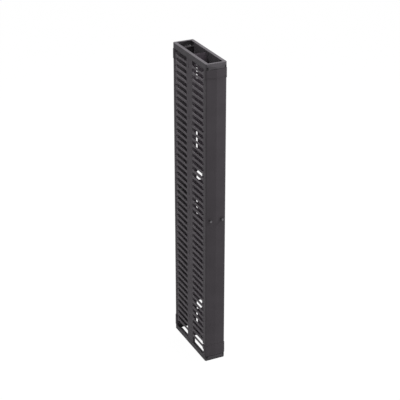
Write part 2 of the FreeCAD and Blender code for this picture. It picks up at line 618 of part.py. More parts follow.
def make_guides(prefix, turned):
    """Guide blocks for the bolts, seated on the returns of the panel."""
    body = new_body(f"{prefix}_bolt_guides", turned, compound=True)
    inner = f"({PIN_X} - Sizes.guide_inner)"
    outer = f"({PANEL_SIDE} - Sizes.panel_sheet)"
    front = f"({PIN_Y} - Sizes.guide_front)"
    back = f"({PIN_Y} + Sizes.guide_depth)"
    shoulder = f"({PIN_X} + Sizes.guide_shoulder)"
    lean = f"({outer} - {shoulder})"
    bevel = f"({front} + {lean})"
    block = [(inner, front), (shoulder, front), (outer, bevel), (outer, back), (inner, back)]
    loops = []
    for side in (-1, 1):
        loops.append([(f"{side} * {x}", y) for x, y in block])
        loops.append((f"{side} * {PIN_X}", PIN_Y, "Sizes.pin_radius + Sizes.bolt_play"))
    lowest = pad(body, sketch(body, "plan", "XY_Plane", loops, "Sizes.guide_first"), "Sizes.guide_height")
    repeat(body, lowest, "Z_Axis", "Sizes.guide_spacing", "Sizes.guide_count")


def make_bracket(prefix, name, side, turned):
    """The latch bracket behind a knob: a plate with a shaft bore and a tab on the panel's return."""
    body = new_body(f"{prefix}_{name}_latch_bracket", turned)
    front = f"({PIN_Y} + Sizes.pin_radius + Sizes.bracket_gap)"
    back = f"({front} + Sizes.bracket_sheet)"
    seat = f"({PANEL_SIDE} - Sizes.panel_sheet)"
    plan = [("Sizes.bracket_inner", front), (seat, front), (seat, f"({back} + Sizes.bracket_tab)"),
            (f"({seat} - Sizes.bracket_sheet)", f"({back} + Sizes.bracket_tab)"),
            (f"({seat} - Sizes.bracket_sheet)", back), ("Sizes.bracket_inner", back)]
    loop = [(f"{side} * {x}", y) for x, y in plan]
    low = "Sizes.knob_height - Sizes.bracket_half_height"
    pad(body, sketch(body, "plan", "XY_Plane", [loop], low), "2 * Sizes.bracket_half_height")
    bore = [(f"{side} * {KNOB_X}", "Sizes.knob_height", "Sizes.shaft_radius + Sizes.shaft_play")]
    pocket(body, sketch(body, "bore", "XZ_Plane", bore), symmetric=True)


# Latches: each is made round the point where the shaft crosses the plane of the bolts

def make_knob(prefix, name, side, turned):
    """A turned knob with its shaft."""
    body = new_body(f"{prefix}_{name}_knob", turned)
    back = "(-Sizes.pin_inset_y - Sizes.knob_stand)"
    tip = f"({back} - Sizes.knob_length)"
    profile = [
        ("0", "Sizes.shaft_tail"),
        ("Sizes.shaft_radius", "Sizes.shaft_tail"),
        ("Sizes.shaft_radius", back),
        ("Sizes.knob_waist", back),
        ("Sizes.knob_waist", f"{back} - Sizes.knob_neck"),
        ("Sizes.knob_radius", f"{back} - Sizes.knob_neck - Sizes.knob_flare"),
        ("Sizes.knob_radius", f"{tip} + Sizes.knob_chamfer"),
        ("Sizes.knob_radius - Sizes.knob_chamfer", tip),
        ("0", tip),
    ]
    drawn = sketch(body, "profile", "XY_Plane", [profile])
    turning = body.newObject("PartDesign::Revolution", f"{body.Name}_turning")
    turning.Profile = drawn
    turning.ReferenceAxis = (drawn, ["V_Axis"])
    turning.Angle = 360
    body.Tip = turning
    place(body, f"{side} * {KNOB_X}", PIN_Y, "Sizes.knob_height", turned)


def make_nut(prefix, name, side, turned):
    """The hexagon nut that keeps the shaft in its bracket."""
    body = new_body(f"{prefix}_{name}_knob_nut", turned)
    near = "Sizes.pin_radius + Sizes.bracket_gap + Sizes.bracket_sheet + Sizes.nut_play"
    corners = [math.radians(60 * corner) for corner in range(6)]
    hexagon = [(f"{math.cos(turn):.5f} * Sizes.nut_corner", f"{math.sin(turn):.5f} * Sizes.nut_corner")
               for turn in corners]
    loops = [hexagon, ("0", "0", "Sizes.shaft_radius + Sizes.shaft_play")]
    pad(body, sketch(body, "plan", "XZ_Plane", loops, f"-({near} + Sizes.nut_height)"), "Sizes.nut_height")
    place(body, f"{side} * {KNOB_X}", PIN_Y, "Sizes.knob_height", turned)


def flank(teeth, radius):
    """Half the thickness of an involute tooth at a radius, both in modules."""
    pitch = teeth / 2
    base = pitch * math.cos(PRESSURE)
    reach = math.acos(min(1, base / radius))
    half_angle = math.pi / (2 * teeth) + math.tan(PRESSURE) - PRESSURE - math.tan(reach) + reach
    return half_angle * radius


def make_pinion(prefix, name, side, turned):
    """A spur pinion on the knob shaft."""
    body = new_body(f"{prefix}_{name}_pinion", turned)
    teeth = size("gear_teeth")
    m = "Sizes.gear_module"
    root = f"({PITCH_RADIUS} - 1.25 * {m})"
    rings = [("0", "0", root), ("0", "0", "Sizes.shaft_radius + Sizes.shaft_play")]
    pad(body, sketch(body, "hub", "XZ_Plane", rings), "Sizes.gear_width", symmetric=True)
    right = []
    for step in (-1.35, -0.4, 0, 0.55, 1):
        half = flank(teeth, teeth / 2 + step)
        right.append((f"({PITCH_RADIUS} + {step} * {m})", f"({half:.4f} * {m} - Sizes.tooth_play)"))
    tooth = [(x, f"-{z}") for x, z in right] + list(reversed(right))
    cut = pad(body, sketch(body, "tooth", "XZ_Plane", [tooth]), "Sizes.gear_width", symmetric=True)
    ring = body.newObject("PartDesign::PolarPattern", f"{body.Name}_teeth")
    ring.Originals = [cut]
    ring.Axis = (origin_feature(body, "Y_Axis"), [""])
    ring.Angle = 360
    ring.setExpression("Occurrences", "Sizes.gear_teeth")
    body.Tip = ring
    place(body, f"{side} * {KNOB_X}", PIN_Y, "Sizes.knob_height", turned)


def rack_profile(side, first, last, foot, head):
    """A toothed bar beside the pinion. side is where the bar lies; the teeth are counted from the knob."""
    m = "Sizes.gear_module"
    lean = math.tan(PRESSURE)
    root = f"({PITCH_RADIUS} + 1.25 * {m})"
    tip = f"({PITCH_RADIUS} - {m})"
    wide = f"({HALF_TOOTH + 1.25 * lean:.5f} * {m} - Sizes.tooth_play)"
    narrow = f"({HALF_TOOTH - lean:.5f} * {m} - Sizes.tooth_play)"
    edge = []
    for tooth in range(first, last + 1):
        middle = f"({tooth + 0.5} * {TOOTH_PITCH})"
        edge += [(root, f"{middle} - {wide}"), (tip, f"{middle} - {narrow}"), (tip, f"{middle} + {narrow}"),
                 (root, f"{middle} + {wide}")]
    loop = [(root, foot)] + edge + [(root, head), ("Sizes.knob_inset", head), ("Sizes.knob_inset", foot)]
    return [(f"{side} * {x}", z) for x, z in loop]


def round_rod(body, name, x, foot, head):
    pad(body, sketch(body, name, "XY_Plane", [(x, "0", "Sizes.pin_radius")], foot), span(foot, head))


def make_upper_bolt(prefix, name, side, turned):
    """The upper bolt: a round rod into the top cap, with a rack outside the pinion."""
    body = new_body(f"{prefix}_{name}_upper_bolt", turned)
    foot = f"(-2.2 * {TOOTH_PITCH})"
    head = f"(6.4 * {TOOTH_PITCH})"
    rack = rack_profile(side, -2, 5, foot, head)
    pad(body, sketch(body, "rack", "XZ_Plane", [rack]), "Sizes.gear_width", symmetric=True)
    top = f"({DOOR_TOP} + Sizes.door_gap + Sizes.bolt_reach - Sizes.knob_height)"
    round_rod(body, "rod", f"{side} * Sizes.knob_inset", foot, top)
    place(body, f"{side} * {KNOB_X}", PIN_Y, "Sizes.knob_height", turned)


def make_lower_bolt(prefix, name, side, turned):
    """The lower bolt: a rack inside the pinion, cranked under it to a round rod into the base."""
    body = new_body(f"{prefix}_{name}_lower_bolt", turned)
    foot = "(-Sizes.crank_drop)"
    head = f"(2.2 * {TOOTH_PITCH})"
    rack = rack_profile(-side, -6, 1, foot, head)
    pad(body, sketch(body, "rack", "XZ_Plane", [rack]), "Sizes.gear_width", symmetric=True)
    outer = f"{side} * Sizes.knob_inset"
    crank = box_loop(f"-{side} * Sizes.knob_inset", outer, foot, f"{foot} + Sizes.crank_height")
    pad(body, sketch(body, "crank", "XZ_Plane", [crank]), "Sizes.gear_width", symmetric=True)
    low = f"({DOOR_BOTTOM} - Sizes.door_gap - Sizes.bolt_reach - Sizes.knob_height)"
    round_rod(body, "rod", outer, low, f"({foot} + Sizes.crank_height)")
    place(body, f"{side} * {KNOB_X}", PIN_Y, "Sizes.knob_height", turned)


def make_door(prefix, turned):
    make_panel(prefix, turned)
    make_end_cap(f"{prefix}_door_upper_cap", turned, DOOR_TOP, 1, "Sizes.upper_side_height",
                 "Sizes.upper_corner_height", "Sizes.upper_crease_height")
    make_end_cap(f"{prefix}_door_lower_cap", turned, DOOR_BOTTOM, -1, "Sizes.lower_side_height",
                 "Sizes.lower_corner_height", "Sizes.lower_crease_height")
    make_end_screws(prefix, turned)
    make_bezels(prefix, turned)
    make_guides(prefix, turned)
    for name, side in (("left", -1), ("right", 1)):
        make_bracket(prefix, name, side, turned)
        make_knob(prefix, name, side, turned)
        make_nut(prefix, name, side, turned)
        make_pinion(prefix, name, side, turned)
        make_upper_bolt(prefix, name, side, turned)
        make_lower_bolt(prefix, name, side, turned)


def check_and_write():
    """Every object has to be sound before any file is written."""
    doc.recompute()
    for item in doc.Objects:
        if "Invalid" in item.State or "Error" in item.State:
            raise RuntimeError(f"{item.Name} is {item.State}")
    pieces = [doc.getObjectsByLabel(label)[0] for label in labels]
    for piece in pieces:
        if piece.Shape.isNull() or not piece.Shape.isValid():
            raise RuntimeError(f"{piece.Label} has no sound shape")
    os.makedirs("parts", exist_ok=True)
    for piece in pieces:
        piece.Shape.exportStep(f"parts/{piece.Label}.step")
        print(piece.Label, len(piece.Shape.Solids), round(piece.Shape.Volume))


make_top_cap()
make_base()
make_strip("left_strip", -1)
make_strip("right_strip", 1)
make_strip_screws()
make_divider()
for end_name, along in (("front", -1), ("rear", 1)):
    for side_name, across in (("left", -1), ("right", 1)):
        for bank, level in enumerate(("lower", "middle", "upper")):
            make_finger_bank(f"{end_name}_{side_name}_fingers_{level}", across, along, bank)
make_door("front", False)
make_door("rear", True)
check_and_write()
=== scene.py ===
import json
import math

import bmesh
import bpy
from bpy.props import FloatProperty, FloatVectorProperty, IntProperty, PointerProperty
from bpy.types import Operator, Panel, PropertyGroup
from mathutils import Matrix, Vector


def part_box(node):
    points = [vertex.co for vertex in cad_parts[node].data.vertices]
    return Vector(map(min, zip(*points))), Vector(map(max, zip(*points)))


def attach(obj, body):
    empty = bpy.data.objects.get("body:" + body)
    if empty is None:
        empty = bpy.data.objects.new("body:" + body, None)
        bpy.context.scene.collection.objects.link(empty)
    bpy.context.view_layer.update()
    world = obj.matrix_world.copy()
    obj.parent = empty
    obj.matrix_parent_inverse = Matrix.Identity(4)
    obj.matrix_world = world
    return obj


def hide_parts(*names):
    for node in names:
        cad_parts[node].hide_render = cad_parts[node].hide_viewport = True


bl_info = {
    "name": "Vertical cable manager",
    "version": (1, 0, 0),
    "blender": (4, 5, 0),
    "location": "3D View > Sidebar > Cable manager",
    "description": "Dresses a tall cable manager with its fingers, doors and latches",
    "category": "Object",
}

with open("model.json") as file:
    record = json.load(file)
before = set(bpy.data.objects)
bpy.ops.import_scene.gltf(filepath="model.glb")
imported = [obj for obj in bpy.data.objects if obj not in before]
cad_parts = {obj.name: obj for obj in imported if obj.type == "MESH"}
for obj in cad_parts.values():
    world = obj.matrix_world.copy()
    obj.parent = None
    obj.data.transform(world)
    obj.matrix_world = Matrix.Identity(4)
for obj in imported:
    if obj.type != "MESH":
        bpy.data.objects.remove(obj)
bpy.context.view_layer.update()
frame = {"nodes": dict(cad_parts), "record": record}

SIDES = ("left", "right")
DOORS = ("front", "rear")
BANKS = ("lower", "middle", "upper")
AXIS_Y, AXIS_Z = Vector((0, 1, 0)), Vector((0, 0, 1))

# Faces that lie this flat are joined, and edges sharper than the soft angle are softened
FLAT_ANGLE = math.radians(1)
SOFT_ANGLE = math.radians(28)
WELD = 1e-5

# A shallow fold: its least angle, the least area of its faces, and how far they face the front or the back
FOLD_ANGLE = math.radians(3)
FOLD_FACE = 0.0001
FOLD_FACING = 0.95

# Upright corners lie this near to a side, and are at least this long on a ring cap, an end cap and a panel
CORNER_ZONE = 0.012
RING_CORNER, END_CAP_CORNER, PANEL_CORNER = 0.012, 0.03, 1

# Profiles of a knob: shares of its radius, with distances in front of its back, and then behind its tip
KNOB_WAIST = ((0.74, 0), (0.78, 0.0004), (0.79, 0.0035), (0.86, 0.0050), (0.99, 0.0062), (1, 0.0068))
KNOB_RIM = ((1, 0.0016), (0.96, 0.0006), (0.90, 0), (0.80, 0), (0.79, 0.0010), (0, 0.0010))
# The front disc of a knob is coloured lighter than the knob: a painted highlight for the light its front catches
KNOB_HIGHLIGHT_DISC = ((0, 0.0009), (0.76, 0.0009), (0.76, 0.0005), (0.70, 0.0003), (0.35, 0.0001), (0, 0))
FLUTED_RINGS = (8, 9, 10)

# Dome of a button head: shares of its radius, with distances below its top
SCREW_DOME = ((0.55, 0), (0.85, 0.0006), (1, 0.0015))

# The stage
CAMERA_PLACE, CAMERA_SHIFT, CAMERA_REACH = (-3.1578, -6.5996, 4.5908), -0.015, 50
KEY_SIZE, KEY_PLACE, KEY_AIM = 3.6, Vector((0.7, 0.1, 5.6)), Vector((0, 0, 1.4))
SIDE_SIZE, SIDE_PLACE, SIDE_AIM = 0.6, Vector((1.8, -0.64, 2.5)), Vector((0, -0.24, 1.9))
FLOOR_REACH, FLOOR_GREY, FLOOR_GLOW, FLOOR_SHOWN = 14, 0.58, 1.035, 0.94

# Sheen of the matt coats. By slot: material, colour, roughness, grain in a metre, depth of the grain, sheen
MATT = 0.05
COATS = {
    "frame_sheet": ("sheet_coat", "sheet", 0.50, 1400, 0.00012, MATT),
    # The divider's coat is lighter than the strips' though it is the same black: painted light for the shaded gaps
    # between the fingers
    "divider_sheet": ("divider_coat", "divider", 0.50, 1400, 0.00012, MATT),
    "door_sheet": ("door_paint", "door", 0.42, 1100, 0.00005, MATT),
    "cap_moulding": ("cap_moulding", "caps", 0.52, 1800, 0.00010, MATT),
    "door_moulding": ("door_moulding", "door", 0.48, 1800, 0.00008, MATT),
    "finger_moulding": ("finger_moulding", "fingers", 0.50, 1800, 0.00008, MATT),
    "knob_moulding": ("knob_moulding", "knobs", 0.34, 2200, 0.00004, 0.3),
    # Painted highlight: the knob's front disc is a lighter grey standing in for the light it catches
    "knob_face": ("knob_face", "knob_faces", 0.30, 2600, 0.00002, 0.3),
    "gear_moulding": ("natural_moulding", "gears", 0.40, 2200, 0.00003, 0.4),
    "black_screw": ("black_zinc", "screws", 0.32, 1500, 0.00003, 0.4),
    "blackened_steel": ("black_oxide", "bolts", 0.36, 1500, 0.00003, 0.4),
}
FINISHES = {}


# Properties

def length(name, description, default):
    return FloatProperty(name=name, description=description, default=default, min=0, precision=5,
                         subtype="DISTANCE", unit="LENGTH")


def colour(name, description, default):
    return FloatVectorProperty(name=name, description=description, default=default, size=3, min=0, max=1,
                               subtype="COLOR")


class FingerSettings(PropertyGroup):
    count: IntProperty(name="Fingers", description="Fingers in each column", default=45, min=2)
    pitch: length("Pitch", "Height of one rack unit", 0.04445)
    arm: length("Arm", "Height of a finger at its arm", 0.015)
    root: length("Root", "Height of a finger where it leaves the strip", 0.021)
    root_length: length("Root length", "Length of the root block", 0.008)
    flare: length("Flare", "Length of the flare from the root to the arm", 0.005)
    head: length("Head", "Height of the cross bar at the tip", 0.037)
    head_length: length("Head length", "Thickness of the cross bar along the finger", 0.012)
    head_round: length("Head round", "Radius of the corners of the cross bar", 0.0028)
    neck_round: length("Neck round", "Radius where the arm meets the cross bar", 0.003)
    edge: length("Edge", "Chamfer round the finger's outline", 0.0007)


class ShellSettings(PropertyGroup):
    sheet_edge: length("Sheet edge", "Softening of the edges of folded sheet", 0.0003)
    bend: length("Bend", "Softening of the folds of the doors", 0.0022)
    crease: length("Crease", "Softening of the shallow folds of the end faces", 0.0010)
    moulded_edge: length("Moulded edge", "Softening of the edges of the caps", 0.0008)
    moulded_corner: length("Moulded corner", "Softening of the upright corners of the caps", 0.003)


class LatchSettings(PropertyGroup):
    knob_radius: length("Knob radius", "Radius of a knob at its grip", 0.0095)
    flute_depth: length("Flute depth", "Depth of the grooves round the grip", 0.0006)
    flutes: IntProperty(name="Flutes", description="Grooves round the grip", default=18, min=3)
    knob_length: length("Knob length", "Length of a knob in front of its shaft", 0.011)
    shaft_radius: length("Shaft radius", "Radius of a knob's shaft", 0.003)
    shaft_edge: length("Shaft edge", "Chamfer at the end of a knob's shaft", 0.0006)
    screw_head: length("Screw head", "Radius of a button-head screw", 0.004)
    screw_height: length("Screw height", "Height of a button-head screw", 0.0022)
    screw_shank: length("Screw shank", "Length of the shank behind the head", 0.0025)
    screw_socket: length("Screw socket", "Radius of the socket", 0.0015)
    socket_depth: length("Socket depth", "Depth of the socket", 0.0012)


class FinishSettings(PropertyGroup):
    sheet: colour("Sheet", "Powder coat of the strips", (0.071, 0.063, 0.071))
    # Painted light: the divider is the same black as the strips, coloured lighter to light up the shaded gaps between
    # the fingers
    divider: colour("Divider", "Powder coat of the divider", (0.104, 0.089, 0.104))
    door: colour("Door", "Satin paint of the doors", (0.060, 0.054, 0.060))
    caps: colour("Caps", "Moulding of the caps", (0.073, 0.068, 0.074))
    fingers: colour("Fingers", "Moulding of the fingers", (0.103, 0.094, 0.103))
    knobs: colour("Knobs", "Moulding of the knobs", (0.042, 0.038, 0.042))
    # Painted highlight: the lighter grey of the knobs' front discs stands in for the light they catch
    knob_faces: colour("Knob faces", "Discs let into the knobs", (0.135, 0.130, 0.140))
    steel: colour("Steel", "Phosphated steel of the brackets", (0.11, 0.108, 0.11))
    bolts: colour("Bolts", "Blackened steel of the bolts", (0.030, 0.029, 0.030))
    screws: colour("Screws", "Blackened screws", (0.025, 0.025, 0.026))
    gears: colour("Gears", "Natural plastic of the pinions and guides", (0.55, 0.54, 0.50))


class StageSettings(PropertyGroup):
    lens: FloatProperty(name="Lens", description="Focal length in millimetres", default=110.37, min=1)
    tilt: FloatProperty(name="Tilt", description="Camera below the horizon", default=math.radians(25.25),
                        subtype="ANGLE", unit="ROTATION")
    turn: FloatProperty(name="Turn", description="Camera to the right of the depth axis",
                        default=math.radians(25.6), subtype="ANGLE", unit="ROTATION")
    key: FloatProperty(name="Key light", description="Power of the overhead soft box", default=265, min=0)
    side: FloatProperty(name="Side light", description="Power of the soft box by the top on the right", default=46,
                        min=0)
    sky: FloatProperty(name="Room light", description="Strength of the light from all round", default=0.60, min=0)


# Mesh tools

def cad_mesh(node):
    """A welded copy of a CAD node, its flat faces joined up."""
    bm = bmesh.new()
    bm.from_mesh(frame["nodes"][node].data)
    bmesh.ops.remove_doubles(bm, verts=bm.verts, dist=WELD)
    bmesh.ops.dissolve_limit(bm, angle_limit=FLAT_ANGLE, verts=bm.verts, edges=bm.edges, delimit={"NORMAL"})
    return bm


def upright_corner(side, least):
    """A test for upright edges longer than least near to a side, which lies at side and its mirror image."""

    def found(edge):
        first, last = (vert.co for vert in edge.verts)
        upright = abs((last - first).normalized().z) > 0.999
        return upright and edge.calc_length() > least and abs(first.x) > side - CORNER_ZONE

    return found


def shallow_fold(edge):
    """True between two broad faces of a front or a back."""
    return all(face.calc_area() > FOLD_FACE and abs(face.normal.y) > FOLD_FACING for face in edge.link_faces)


def round_edges(bm, width, segments, wanted, least=SOFT_ANGLE):
    """Rounds the edges that wanted picks, where two faces meet at more than the least angle."""
    picked = [e for e in bm.edges if len(e.link_faces) == 2 and e.calc_face_angle(0) > least and wanted(e)]
    bmesh.ops.bevel(bm, geom=picked, offset=width, segments=segments, profile=0.5, affect="EDGES", clamp_overlap=True)
    bmesh.ops.remove_doubles(bm, verts=bm.verts, dist=WELD)


def finished(name, bm, finish, edge=0.0, segments=2):
    """A piece from a mesh: edges softened, smooth shading weighted to its flat faces, and its material."""
    mesh = bpy.data.meshes.new(name)
    bm.to_mesh(mesh)
    bm.free()
    mesh.polygons.foreach_set("use_smooth", [True] * len(mesh.polygons))
    piece = bpy.data.objects.new(name, mesh)
    bpy.context.scene.collection.objects.link(piece)
    if edge:
        soften = piece.modifiers.new("soften", "BEVEL")
        soften.width = edge
        soften.segments = segments
        soften.limit_method = "ANGLE"
        soften.angle_limit = SOFT_ANGLE
        soften.use_clamp_overlap = True
    weigh = piece.modifiers.new("weigh", "WEIGHTED_NORMAL")
    weigh.keep_sharp = False
    piece.data.materials.append(finish)
    return converted(piece)


def converted(piece):
    """The piece with its modifiers made into plain mesh."""
    graph = bpy.context.evaluated_depsgraph_get()
    mesh = bpy.data.meshes.new_from_object(piece.evaluated_get(graph), depsgraph=graph)
    mesh.name = piece.name
    old = piece.data
    piece.modifiers.clear()
    piece.data = mesh
    bpy.data.meshes.remove(old)
    return piece


def seat(piece, body, slot, *nodes):
    """Tells the frame which body carries the piece and which nodes it stands for. The slot is not used."""
    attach(piece, body)
    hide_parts(*nodes)
    return piece


def prism(outline, start, end):
    """A solid with its outline in Y and Z and its thickness from start to end in X."""
    bm = bmesh.new()
    low = [bm.verts.new((start, y, z)) for y, z in outline]
    high = [bm.verts.new((end, y, z)) for y, z in outline]
    bm.faces.new(low)
    bm.faces.new(list(reversed(high)))
    for index in range(len(outline)):
        following = (index + 1) % len(outline)
        bm.faces.new((low[following], low[index], high[index], high[following]))
    bmesh.ops.recalc_face_normals(bm, faces=bm.faces)
    return bm


def rounded(corners, steps=2):
    """A closed outline from (y, z, radius) corners, each with a radius turned into an arc."""
    outline = []
    count = len(corners)
    for index, (y, z, radius) in enumerate(corners):
        corner = Vector((y, z))
        before = Vector(corners[index - 1][:2]) - corner
        after = Vector(corners[(index + 1) % count][:2]) - corner
        if not radius:
            outline.append(corner)
            continue
        opening = before.angle(after)
        reach = radius / math.tan(opening / 2)
        first = corner + before.normalized() * reach
        last = corner + after.normalized() * reach
        middle = corner + (before.normalized() + after.normalized()).normalized() * radius / math.sin(opening / 2)
        for step in range(steps + 1):
            spoke = (first - middle).lerp(last - middle, step / steps).normalized() * radius
            outline.append(middle + spoke)
    return [tuple(point) for point in outline]


def lathe(rings, segments, centre, swell=None):
    """A body of revolution about Y through centre. rings are (radius, y); swell changes a radius by ring and turn."""
    bm = bmesh.new()
    loops = []
    for number, (radius, along) in enumerate(rings):
        if radius == 0:
            loops.append([bm.verts.new(centre + AXIS_Y * along)])
            continue
        loop = []
        for step in range(segments):
            turn = 2 * math.pi * step / segments
            reach = radius + (swell(number, turn) if swell else 0)
            loop.append(bm.verts.new(centre + Vector((reach * math.cos(turn), along, reach * math.sin(turn)))))
        loops.append(loop)
    for first, second in zip(loops, loops[1:]):
        for step in range(segments):
            following = (step + 1) % segments
            corners = []
            for vert in (first[step % len(first)], first[following % len(first)],
                         second[following % len(second)], second[step % len(second)]):
                if vert not in corners:
                    corners.append(vert)
            bm.faces.new(corners)
    bmesh.ops.recalc_face_normals(bm, faces=bm.faces)
    return bm


# Materials

class Shader:
    """Adds nodes to a material and links them."""

    def __init__(self, name):
        self.material = bpy.data.materials.new(name)
        self.material.use_nodes = True
        self.tree = self.material.node_tree
        self.surface = self.tree.nodes["Principled BSDF"]
        self.place = self.add("ShaderNodeTexCoord").outputs["Object"]

    def add(self, kind, **values):
        node = self.tree.nodes.new(kind)
        for name, value in values.items():
            setattr(node, name, value)
        return node

    def link(self, output, socket):
        self.tree.links.new(output, socket)

    def noise(self, scale, detail=3.0, stretch=(1, 1, 1)):
        spread = self.add("ShaderNodeMapping")
        spread.inputs["Scale"].default_value = stretch
        self.link(self.place, spread.inputs["Vector"])
        texture = self.add("ShaderNodeTexNoise")
        texture.inputs["Scale"].default_value = scale
        texture.inputs["Detail"].default_value = detail
        self.link(spread.outputs["Vector"], texture.inputs["Vector"])
        return texture.outputs["Fac"]

    def spread(self, value, low, high, start=0.3, end=0.7):
        """Maps a noise to a range."""
        node = self.add("ShaderNodeMapRange")
        node.inputs["From Min"].default_value = start
        node.inputs["From Max"].default_value = end
        node.inputs["To Min"].default_value = low
        node.inputs["To Max"].default_value = high
        self.link(value, node.inputs["Value"])
        return node.outputs["Result"]

    def tint(self, value, base, share):
        """The base colour, darkened and lightened by a share as the value goes from 0 to 1."""
        mix = self.add("ShaderNodeMix", data_type="RGBA")
        mix.inputs[6].default_value = (*[c * (1 - share) for c in base], 1)
        mix.inputs[7].default_value = (*[min(1, c * (1 + share)) for c in base], 1)
        self.link(value, mix.inputs[0])
        self.link(mix.outputs[2], self.surface.inputs["Base Color"])

    def bump(self, value, strength, distance):
        node = self.add("ShaderNodeBump")
        node.inputs["Strength"].default_value = strength
        node.inputs["Distance"].default_value = distance
        self.link(value, node.inputs["Height"])
        self.link(node.outputs["Normal"], self.surface.inputs["Normal"])


def coated(name, base, roughness, grain, depth, sheen):
    """A coating or moulding with a fine grain, a faintly clouded colour and an uneven gloss."""
    shader = Shader(name)
    shader.surface.inputs["Specular IOR Level"].default_value = sheen
    cloud = shader.noise(9, 4)
    shader.tint(shader.spread(cloud, 0, 1), base, 0.07)
    gloss = shader.spread(shader.noise(40, 5), roughness - 0.05, roughness + 0.05)
    shader.link(gloss, shader.surface.inputs["Roughness"])
    shader.bump(shader.noise(grain, 2), 0.35, depth)
    return shader.material


def drawn_steel(name, base):
    """Phosphated steel with fine lines along its length."""
    shader = Shader(name)
    shader.surface.inputs["Metallic"].default_value = 1.0
    lines = shader.noise(500, 3, (1, 1, 0.02))
    shader.tint(shader.spread(lines, 0, 1), base, 0.12)
    shader.link(shader.spread(lines, 0.26, 0.42), shader.surface.inputs["Roughness"])
    shader.bump(lines, 0.15, 0.00005)
    return shader.material


def shown_ray(tree):
    """A socket that is 1 for what the camera sees, straight or in a reflection or through glass, and else 0."""
    path = tree.nodes.new("ShaderNodeLightPath")
    total = path.outputs["Is Camera Ray"]
    for label in ("Is Glossy Ray", "Is Transmission Ray"):
        either = tree.nodes.new("ShaderNodeMath")
        either.operation = "MAXIMUM"
        tree.links.new(total, either.inputs[0])
        tree.links.new(path.outputs[label], either.inputs[1])
        total = either.outputs[0]
    return total


def finish(name):
    """The material of a slot, made once."""
    if name not in FINISHES:
        colours = bpy.context.scene.manager_finishes
        if name == "bare_steel":
            FINISHES[name] = drawn_steel("drawn_steel", colours.steel)
        else:
            material, base, *values = COATS[name]
            FINISHES[name] = coated(material, getattr(colours, base), *values)
    return FINISHES[name]


def slot_of(node):
    return next(item["material_slot"] for item in frame["record"]["subparts"] if item["node"] == node)


def coat_node(node):
    """Gives a CAD node that stays in view its own finish."""
    mesh = frame["nodes"][node].data
    mesh.materials.clear()
    mesh.materials.append(finish(slot_of(node)))


# Geometry nodes

def new_tree(name, inputs):
    """An empty node group with a geometry and named inputs."""
    tree = bpy.data.node_groups.new(name, "GeometryNodeTree")
    face = tree.interface
    face.new_socket("Geometry", in_out="INPUT", socket_type="NodeSocketGeometry")
    for label, kind in inputs:
        face.new_socket(label, in_out="INPUT", socket_type=kind)
    face.new_socket("Geometry", in_out="OUTPUT", socket_type="NodeSocketGeometry")
    return tree, tree.nodes.new("NodeGroupInput"), tree.nodes.new("NodeGroupOutput")


def close_tree(tree, source, sink, points):
    """Stands the incoming mesh on the points, makes it real and gives it its material."""
    link = tree.links.new
    stand = tree.nodes.new("GeometryNodeInstanceOnPoints")
    link(points, stand.inputs["Points"])
    link(source.outputs["Geometry"], stand.inputs["Instance"])
    real = tree.nodes.new("GeometryNodeRealizeInstances")
    link(stand.outputs["Instances"], real.inputs["Geometry"])
    dress = tree.nodes.new("GeometryNodeSetMaterial")
    link(real.outputs["Geometry"], dress.inputs["Geometry"])
    link(source.outputs["Material"], dress.inputs["Material"])
    link(dress.outputs["Geometry"], sink.inputs["Geometry"])


def column_tree():
    """Copies a piece up a column at an even pitch."""
    name = "finger_column"
    if name in bpy.data.node_groups:
        return bpy.data.node_groups[name]
    tree, source, sink = new_tree(name, (("Count", "NodeSocketInt"), ("Pitch", "NodeSocketFloat"),
                                         ("Material", "NodeSocketMaterial")))
    step = tree.nodes.new("ShaderNodeCombineXYZ")
    tree.links.new(source.outputs["Pitch"], step.inputs["Z"])
    line = tree.nodes.new("GeometryNodeMeshLine")
    tree.links.new(source.outputs["Count"], line.inputs["Count"])
    tree.links.new(step.outputs["Vector"], line.inputs["Offset"])
    close_tree(tree, source, sink, line.outputs["Mesh"])
    return tree


def wall_tree():
    """Copies a piece to the points of an upright grid, in height and depth, about the middle of the piece."""
    name = "screw_wall"
    if name in bpy.data.node_groups:
        return bpy.data.node_groups[name]
    tree, source, sink = new_tree(name, (("Rows", "NodeSocketInt"), ("Columns", "NodeSocketInt"),
                                         ("Height", "NodeSocketFloat"), ("Depth", "NodeSocketFloat"),
                                         ("Material", "NodeSocketMaterial")))
    grid = tree.nodes.new("GeometryNodeMeshGrid")
    sockets = {"Rows": "Vertices X", "Columns": "Vertices Y", "Height": "Size X", "Depth": "Size Y"}
    for label, socket in sockets.items():
        tree.links.new(source.outputs[label], grid.inputs[socket])
    stand_up = tree.nodes.new("GeometryNodeTransform")
    stand_up.inputs["Rotation"].default_value = (0, math.pi / 2, 0)
    tree.links.new(grid.outputs["Mesh"], stand_up.inputs["Geometry"])
    close_tree(tree, source, sink, stand_up.outputs["Geometry"])
    return tree


def repeated(piece, tree, values, origin):
    """Runs a tree on the piece, whose mesh is round the world origin, and moves the result to its place."""
    modifier = piece.modifiers.new(tree.name, "NODES")
    modifier.node_group = tree
    sockets = {item.name: item.identifier for item in tree.interface.items_tree if item.in_out == "INPUT"}
    for label, value in values.items():
        modifier[sockets[label]] = value
    converted(piece)
    piece.data.transform(Matrix.Translation(origin))
    return piece


# Operators

class MANAGER_OT_caps(Operator):
    """Make the top cap and the base with softened edges"""
    bl_idname = "manager.caps"
    bl_label = "Top cap and base"

    def execute(self, context):
        shell = context.scene.manager_shell
        for node in ("top_cap", "base"):
            bm = cad_mesh(node)
            corner = upright_corner(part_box(node)[1].x, RING_CORNER)
            round_edges(bm, shell.moulded_corner, 3, corner)
            round_edges(bm, shell.crease, 2, shallow_fold, FOLD_ANGLE)
            piece = finished(f"{node}_shell", bm, finish("cap_moulding"), shell.moulded_edge)
            seat(piece, "frame", "cap_moulding", node)
        return {"FINISHED"}


